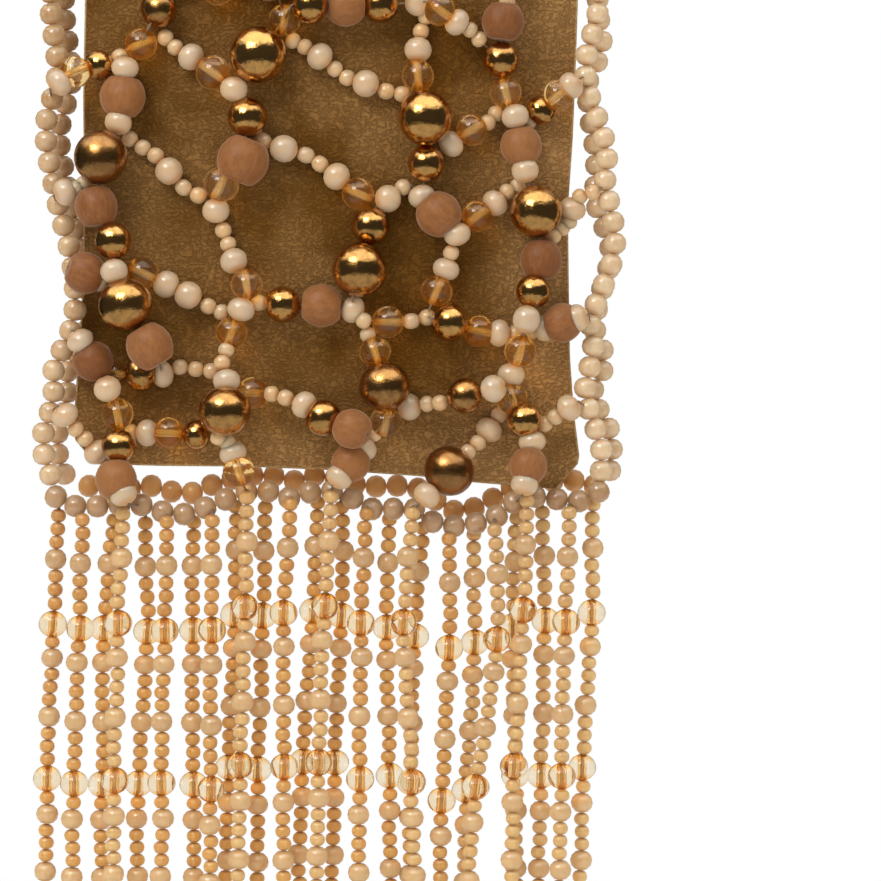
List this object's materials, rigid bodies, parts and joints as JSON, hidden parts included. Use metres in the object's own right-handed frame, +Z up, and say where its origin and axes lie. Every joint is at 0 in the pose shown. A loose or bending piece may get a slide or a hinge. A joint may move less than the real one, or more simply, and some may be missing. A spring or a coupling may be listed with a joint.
{
  "type": "beaded crossbody bag",
  "caption": "Small flat crossbody pouch of tan leather in a loose net of gold, wood, glass and cream beads, with a bead fringe below it and a long bead strap.",
  "frame": {"origin": "underside of the strap at its highest point, where a hook or a shoulder bears", "axes": "+Z up along the hanging bag, -Y towards the front, +X to the right seen from the front"},
  "size_m": [0.1802, 0.047, 0.7778],
  "materials": {
    "leather": "matte suede",
    "gold": "worn polish",
    "wood": "satin",
    "amber_glass": "clear",
    "cream": "soft gloss",
    "fringe_beads": "soft gloss"
  },
  "bodies": {
    "bag": {"pouch": "leather", "side_front_left": "cream", "side_front_right": "cream", "border_front": "cream", "mouth_row_front": "cream", "net_column_1": "gold", "net_column_2": "gold", "net_column_3": "gold", "net_column_4": "gold", "rung_top": "cream", "rung_left_top": "cream", "rung_1_2_upper": "cream", "rung_1_2_middle": "amber_glass", "rung_1_2_lower": "wood", "drop_left": "cream", "rung_2_3_top": "cream", "rung_2_3_upper": "cream", "rung_2_3_middle": "wood", "rung_2_3_lower": "cream", "drop_middle": "wood", "rung_3_4_top": "amber_glass", "rung_3_4_upper": "amber_glass", "rung_3_4_second": "amber_glass", "rung_3_4_middle": "cream", "rung_3_4_lower": "cream", "net_back": "cream", "side_back_left": "cream", "side_back_right": "cream", "border_back": "cream", "strap_front": "cream", "strap_back": "cream"},
    "fringe_01": {"fringe_01": "fringe_beads"},
    "fringe_02": {"fringe_02": "fringe_beads"},
    "fringe_03": {"fringe_03": "fringe_beads"},
    "fringe_04": {"fringe_04": "fringe_beads"},
    "fringe_05": {"fringe_05": "fringe_beads"},
    "fringe_06": {"fringe_06": "fringe_beads"},
    "fringe_07": {"fringe_07": "fringe_beads"},
    "fringe_08": {"fringe_08": "fringe_beads"},
    "fringe_09": {"fringe_09": "fringe_beads"},
    "fringe_10": {"fringe_10": "fringe_beads"},
    "fringe_11": {"fringe_11": "fringe_beads"},
    "fringe_12": {"fringe_12": "fringe_beads"},
    "fringe_13": {"fringe_13": "fringe_beads"},
    "fringe_14": {"fringe_14": "fringe_beads"},
    "fringe_15": {"fringe_15": "fringe_beads"},
    "fringe_16": {"fringe_16": "fringe_beads"},
    "fringe_17": {"fringe_17": "fringe_beads"},
    "fringe_18": {"fringe_18": "fringe_beads"},
    "fringe_19": {"fringe_19": "fringe_beads"},
    "fringe_20": {"fringe_20": "fringe_beads"},
    "fringe_21": {"fringe_21": "fringe_beads"},
    "fringe_22": {"fringe_22": "fringe_beads"},
    "fringe_23": {"fringe_23": "fringe_beads"},
    "fringe_24": {"fringe_24": "fringe_beads"},
    "fringe_25": {"fringe_25": "fringe_beads"},
    "fringe_26": {"fringe_26": "fringe_beads"},
    "fringe_27": {"fringe_27": "fringe_beads"}
  },
  "joints": [
    {"name": "fringe_14_swing", "type": "hinge", "parent": "bag", "child": "fringe_14", "pos_m": [0.002, -0.007, -0.61904], "axis": [1, 0, 0], "range_deg": [-40, 40]},
    {"name": "fringe_01_swing", "type": "hinge", "parent": "bag", "child": "fringe_01", "pos_m": [-0.07902, -0.007, -0.62126], "axis": [1, 0, 0], "range_deg": [-40, 40]},
    {"name": "fringe_02_swing", "type": "hinge", "parent": "bag", "child": "fringe_02", "pos_m": [-0.0735, -0.007, -0.6237], "axis": [1, 0, 0], "range_deg": [-40, 40]},
    {"name": "fringe_03_swing", "type": "hinge", "parent": "bag", "child": "fringe_03", "pos_m": [-0.065, -0.007, -0.62341], "axis": [1, 0, 0], "range_deg": [-40, 40]},
    {"name": "fringe_04_swing", "type": "hinge", "parent": "bag", "child": "fringe_04", "pos_m": [-0.061, -0.007, -0.62305], "axis": [1, 0, 0], "range_deg": [-40, 40]},
    {"name": "fringe_05_swing", "type": "hinge", "parent": "bag", "child": "fringe_05", "pos_m": [-0.055, -0.007, -0.62355], "axis": [1, 0, 0], "range_deg": [-40, 40]},
    {"name": "fringe_06_swing", "type": "hinge", "parent": "bag", "child": "fringe_06", "pos_m": [-0.048, -0.007, -0.62543], "axis": [1, 0, 0], "range_deg": [-40, 40]},
    {"name": "fringe_07_swing", "type": "hinge", "parent": "bag", "child": "fringe_07", "pos_m": [-0.0405, -0.007, -0.6252], "axis": [1, 0, 0], "range_deg": [-40, 40]},
    {"name": "fringe_08_swing", "type": "hinge", "parent": "bag", "child": "fringe_08", "pos_m": [-0.034, -0.007, -0.62291], "axis": [1, 0, 0], "range_deg": [-40, 40]},
    {"name": "fringe_09_swing", "type": "hinge", "parent": "bag", "child": "fringe_09", "pos_m": [-0.0275, -0.007, -0.62028], "axis": [1, 0, 0], "range_deg": [-40, 40]},
    {"name": "fringe_10_swing", "type": "hinge", "parent": "bag", "child": "fringe_10", "pos_m": [-0.0235, -0.007, -0.6192], "axis": [1, 0, 0], "range_deg": [-40, 40]},
    {"name": "fringe_11_swing", "type": "hinge", "parent": "bag", "child": "fringe_11", "pos_m": [-0.0185, -0.007, -0.61909], "axis": [1, 0, 0], "range_deg": [-40, 40]},
    {"name": "fringe_12_swing", "type": "hinge", "parent": "bag", "child": "fringe_12", "pos_m": [-0.0105, -0.007, -0.62035], "axis": [1, 0, 0], "range_deg": [-40, 40]},
    {"name": "fringe_13_swing", "type": "hinge", "parent": "bag", "child": "fringe_13", "pos_m": [-0.0025, -0.007, -0.61879], "axis": [1, 0, 0], "range_deg": [-40, 40]},
    {"name": "fringe_15_swing", "type": "hinge", "parent": "bag", "child": "fringe_15", "pos_m": [0.005, -0.007, -0.61952], "axis": [1, 0, 0], "range_deg": [-40, 40]},
    {"name": "fringe_16_swing", "type": "hinge", "parent": "bag", "child": "fringe_16", "pos_m": [0.0124, -0.007, -0.62319], "axis": [1, 0, 0], "range_deg": [-40, 40]},
    {"name": "fringe_17_swing", "type": "hinge", "parent": "bag", "child": "fringe_17", "pos_m": [0.0195, -0.007, -0.62446], "axis": [1, 0, 0], "range_deg": [-40, 40]},
    {"name": "fringe_18_swing", "type": "hinge", "parent": "bag", "child": "fringe_18", "pos_m": [0.0265, -0.007, -0.6249], "axis": [1, 0, 0], "range_deg": [-40, 40]},
    {"name": "fringe_19_swing", "type": "hinge", "parent": "bag", "child": "fringe_19", "pos_m": [0.0297, -0.007, -0.62647], "axis": [1, 0, 0], "range_deg": [-40, 40]},
    {"name": "fringe_20_swing", "type": "hinge", "parent": "bag", "child": "fringe_20", "pos_m": [0.0375, -0.007, -0.62915], "axis": [1, 0, 0], "range_deg": [-40, 40]},
    {"name": "fringe_21_swing", "type": "hinge", "parent": "bag", "child": "fringe_21", "pos_m": [0.045, -0.007, -0.62869], "axis": [1, 0, 0], "range_deg": [-40, 40]},
    {"name": "fringe_22_swing", "type": "hinge", "parent": "bag", "child": "fringe_22", "pos_m": [0.0515, -0.007, -0.62632], "axis": [1, 0, 0], "range_deg": [-40, 40]},
    {"name": "fringe_23_swing", "type": "hinge", "parent": "bag", "child": "fringe_23", "pos_m": [0.058, -0.007, -0.62254], "axis": [1, 0, 0], "range_deg": [-40, 40]},
    {"name": "fringe_24_swing", "type": "hinge", "parent": "bag", "child": "fringe_24", "pos_m": [0.061, -0.007, -0.62111], "axis": [1, 0, 0], "range_deg": [-40, 40]},
    {"name": "fringe_25_swing", "type": "hinge", "parent": "bag", "child": "fringe_25", "pos_m": [0.066, -0.007, -0.62073], "axis": [1, 0, 0], "range_deg": [-40, 40]},
    {"name": "fringe_26_swing", "type": "hinge", "parent": "bag", "child": "fringe_26", "pos_m": [0.074, -0.007, -0.62184], "axis": [1, 0, 0], "range_deg": [-40, 40]},
    {"name": "fringe_27_swing", "type": "hinge", "parent": "bag", "child": "fringe_27", "pos_m": [0.07976, -0.007, -0.62044], "axis": [1, 0, 0], "range_deg": [-40, 40]}
  ],
  "couplings": [
    {"joint": "fringe_01_swing", "follows": "fringe_14_swing", "ratio": 1},
    {"joint": "fringe_02_swing", "follows": "fringe_14_swing", "ratio": 1},
    {"joint": "fringe_03_swing", "follows": "fringe_14_swing", "ratio": 1},
    {"joint": "fringe_04_swing", "follows": "fringe_14_swing", "ratio": 1},
    {"joint": "fringe_05_swing", "follows": "fringe_14_swing", "ratio": 1},
    {"joint": "fringe_06_swing", "follows": "fringe_14_swing", "ratio": 1},
    {"joint": "fringe_07_swing", "follows": "fringe_14_swing", "ratio": 1},
    {"joint": "fringe_08_swing", "follows": "fringe_14_swing", "ratio": 1},
    {"joint": "fringe_09_swing", "follows": "fringe_14_swing", "ratio": 1},
    {"joint": "fringe_10_swing", "follows": "fringe_14_swing", "ratio": 1},
    {"joint": "fringe_11_swing", "follows": "fringe_14_swing", "ratio": 1},
    {"joint": "fringe_12_swing", "follows": "fringe_14_swing", "ratio": 1},
    {"joint": "fringe_13_swing", "follows": "fringe_14_swing", "ratio": 1},
    {"joint": "fringe_15_swing", "follows": "fringe_14_swing", "ratio": 1},
    {"joint": "fringe_16_swing", "follows": "fringe_14_swing", "ratio": 1},
    {"joint": "fringe_17_swing", "follows": "fringe_14_swing", "ratio": 1},
    {"joint": "fringe_18_swing", "follows": "fringe_14_swing", "ratio": 1},
    {"joint": "fringe_19_swing", "follows": "fringe_14_swing", "ratio": 1},
    {"joint": "fringe_20_swing", "follows": "fringe_14_swing", "ratio": 1},
    {"joint": "fringe_21_swing", "follows": "fringe_14_swing", "ratio": 1},
    {"joint": "fringe_22_swing", "follows": "fringe_14_swing", "ratio": 1},
    {"joint": "fringe_23_swing", "follows": "fringe_14_swing", "ratio": 1},
    {"joint": "fringe_24_swing", "follows": "fringe_14_swing", "ratio": 1},
    {"joint": "fringe_25_swing", "follows": "fringe_14_swing", "ratio": 1},
    {"joint": "fringe_26_swing", "follows": "fringe_14_swing", "ratio": 1},
    {"joint": "fringe_27_swing", "follows": "fringe_14_swing", "ratio": 1}
  ]
}
